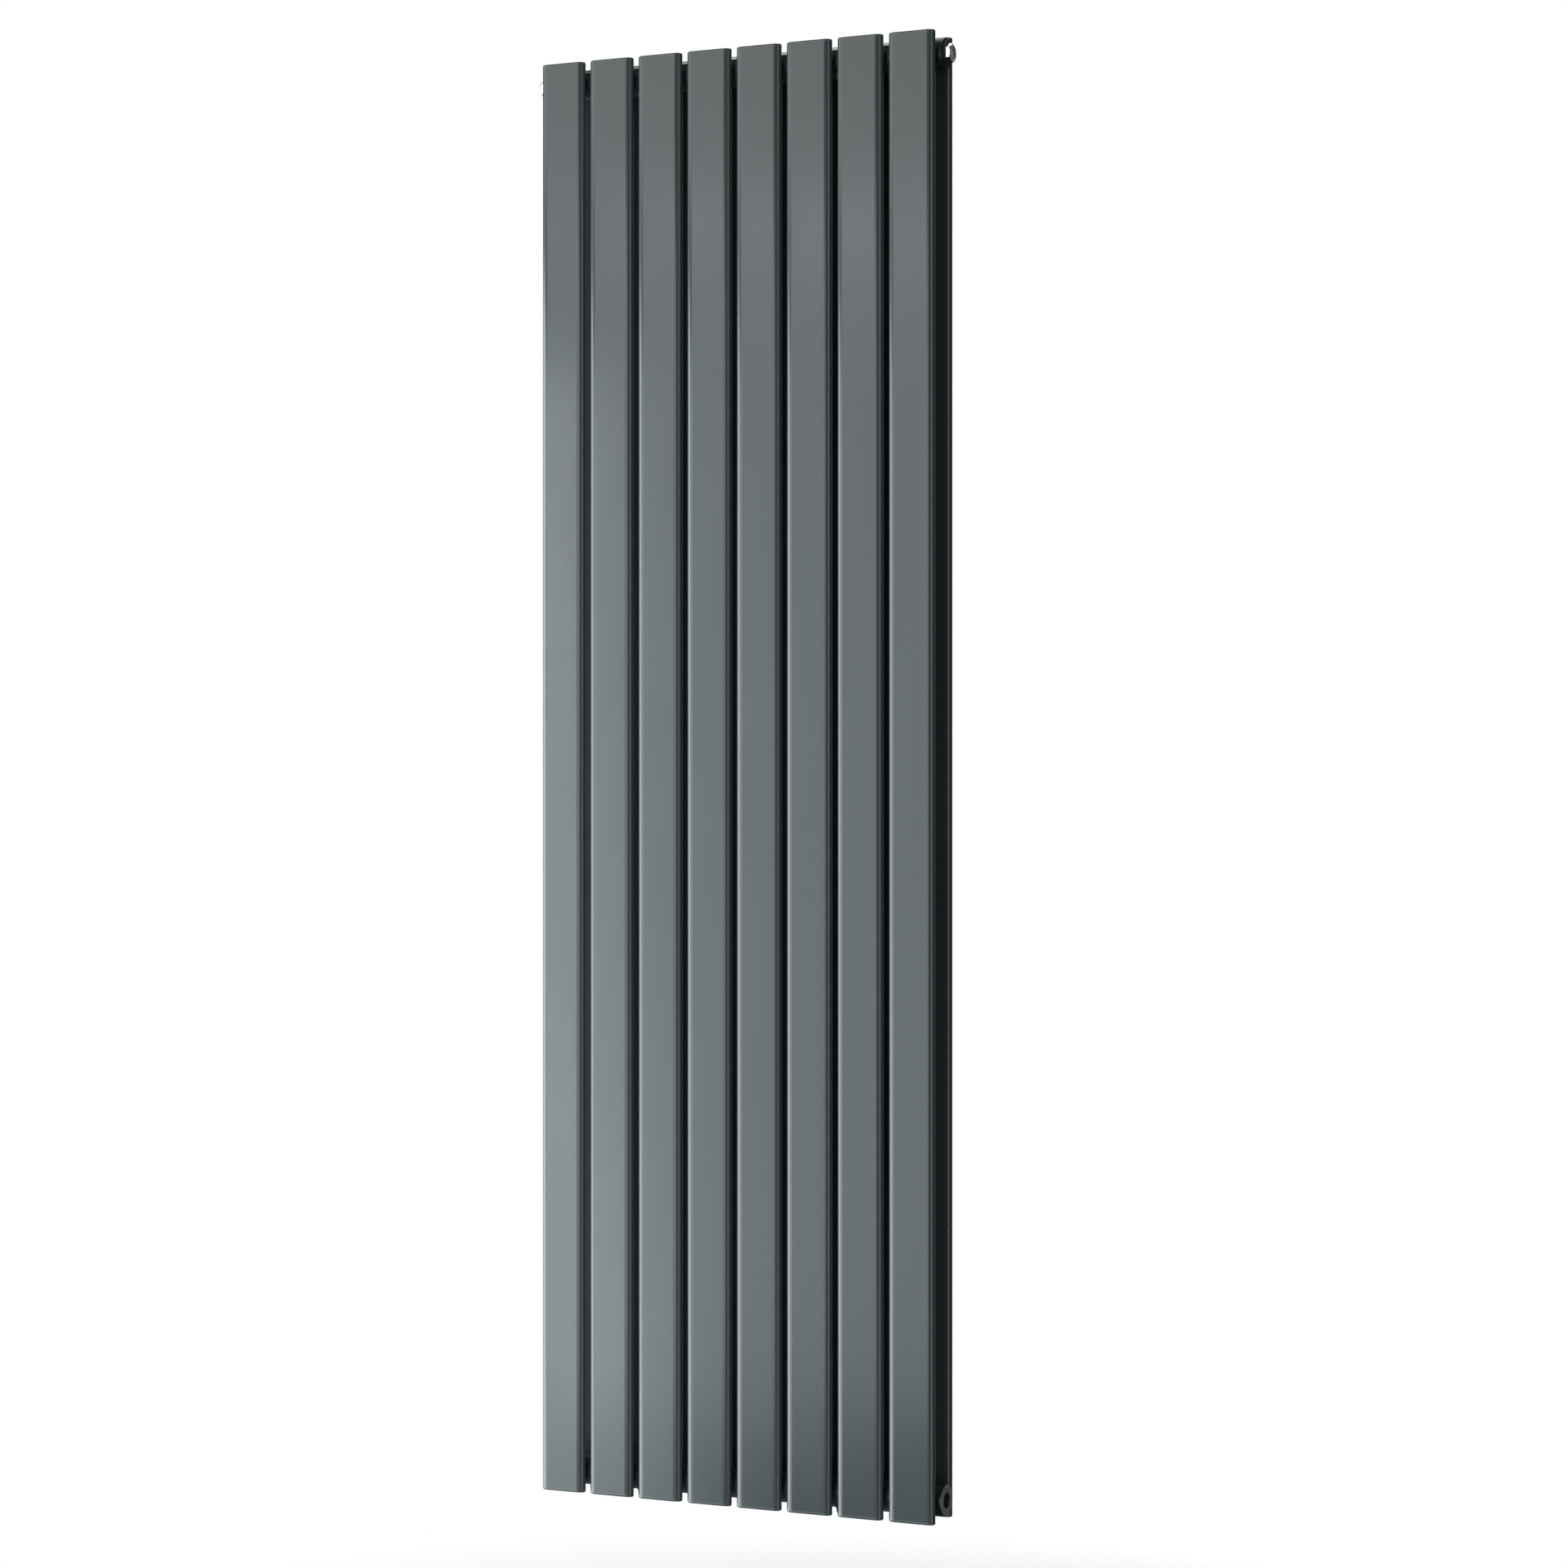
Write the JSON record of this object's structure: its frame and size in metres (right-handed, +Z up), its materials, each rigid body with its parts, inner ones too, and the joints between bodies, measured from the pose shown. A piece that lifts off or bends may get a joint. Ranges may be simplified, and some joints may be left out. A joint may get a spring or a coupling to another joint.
{
  "type": "double-row vertical radiator",
  "caption": "Tall wall-hung radiator: two rows of flat-oval steel columns on round header tubes, with plug, manual air vent, open valve sockets and lift-off wall brackets.",
  "frame": {"origin": "point on the wall behind the middle of the radiator, the centre of the bracket pattern", "axes": "+X to the right seen from the front, +Y into the wall, so the front faces -Y, +Z up along the columns"},
  "size_m": [0.5646, 0.094, 1.8],
  "materials": {
    "anthracite_paint": "satin powder coat, fine texture",
    "bracket_paint": "dark satin powder coat",
    "chrome_plate": "polished",
    "nickel_brass": "nickel-plated brass, turned",
    "bare_steel": "mill finish",
    "black_rubber": "matte",
    "white_nylon": "moulded",
    "black_nylon": "moulded"
  },
  "bodies": {
    "wall_brackets": {"bracket_top_left": "bracket_paint", "bracket_top_right": "bracket_paint", "bracket_bottom_left": "bracket_paint", "bracket_bottom_right": "bracket_paint", "liner_top_left": "black_nylon", "liner_top_right": "black_nylon", "liner_bottom_left": "black_nylon", "liner_bottom_right": "black_nylon"},
    "radiator": {"front_panel_1": "anthracite_paint", "front_panel_2": "anthracite_paint", "front_panel_3": "anthracite_paint", "front_panel_4": "anthracite_paint", "front_panel_5": "anthracite_paint", "front_panel_6": "anthracite_paint", "front_panel_7": "anthracite_paint", "front_panel_8": "anthracite_paint", "rear_panel_1": "anthracite_paint", "rear_panel_2": "anthracite_paint", "rear_panel_3": "anthracite_paint", "rear_panel_4": "anthracite_paint", "rear_panel_5": "anthracite_paint", "rear_panel_6": "anthracite_paint", "rear_panel_7": "anthracite_paint", "rear_panel_8": "anthracite_paint", "top_header": "anthracite_paint", "bottom_header": "anthracite_paint", "boss_top_left": "anthracite_paint", "boss_top_right": "anthracite_paint", "boss_bottom_left": "anthracite_paint", "boss_bottom_right": "anthracite_paint", "flow_baffle": "bare_steel", "blanking_plug": "chrome_plate", "blanking_plug_washer": "black_rubber", "vent_body": "chrome_plate", "vent_washer": "black_rubber"},
    "air_outlet": {"vent_outlet": "white_nylon"},
    "valve_pad": {"bleed_seat_pad": "black_rubber"},
    "valve_screw": {"bleed_screw": "nickel_brass"}
  },
  "joints": [
    {"name": "lift_off", "type": "slide", "parent": "wall_brackets", "child": "radiator", "axis": [0, 0, 1], "range_m": [0, 0.025]},
    {"name": "outlet_swivel", "type": "hinge", "parent": "radiator", "child": "air_outlet", "pos_m": [-0.2823, -0.0605, 0.875], "axis": [-1, 0, 0], "continuous": true},
    {"name": "bleed_screw_travel", "type": "slide", "parent": "radiator", "child": "valve_pad", "axis": [-1, 0, 0], "range_m": [0, 0.001]},
    {"name": "bleed_screw_turn", "type": "hinge", "parent": "valve_pad", "child": "valve_screw", "pos_m": [-0.2823, -0.0605, 0.875], "axis": [-1, 0, 0], "range_deg": [0, 360]}
  ],
  "couplings": [
    {"joint": "bleed_screw_turn", "follows": "bleed_screw_travel", "rad_per_m": 6283.2}
  ]
}
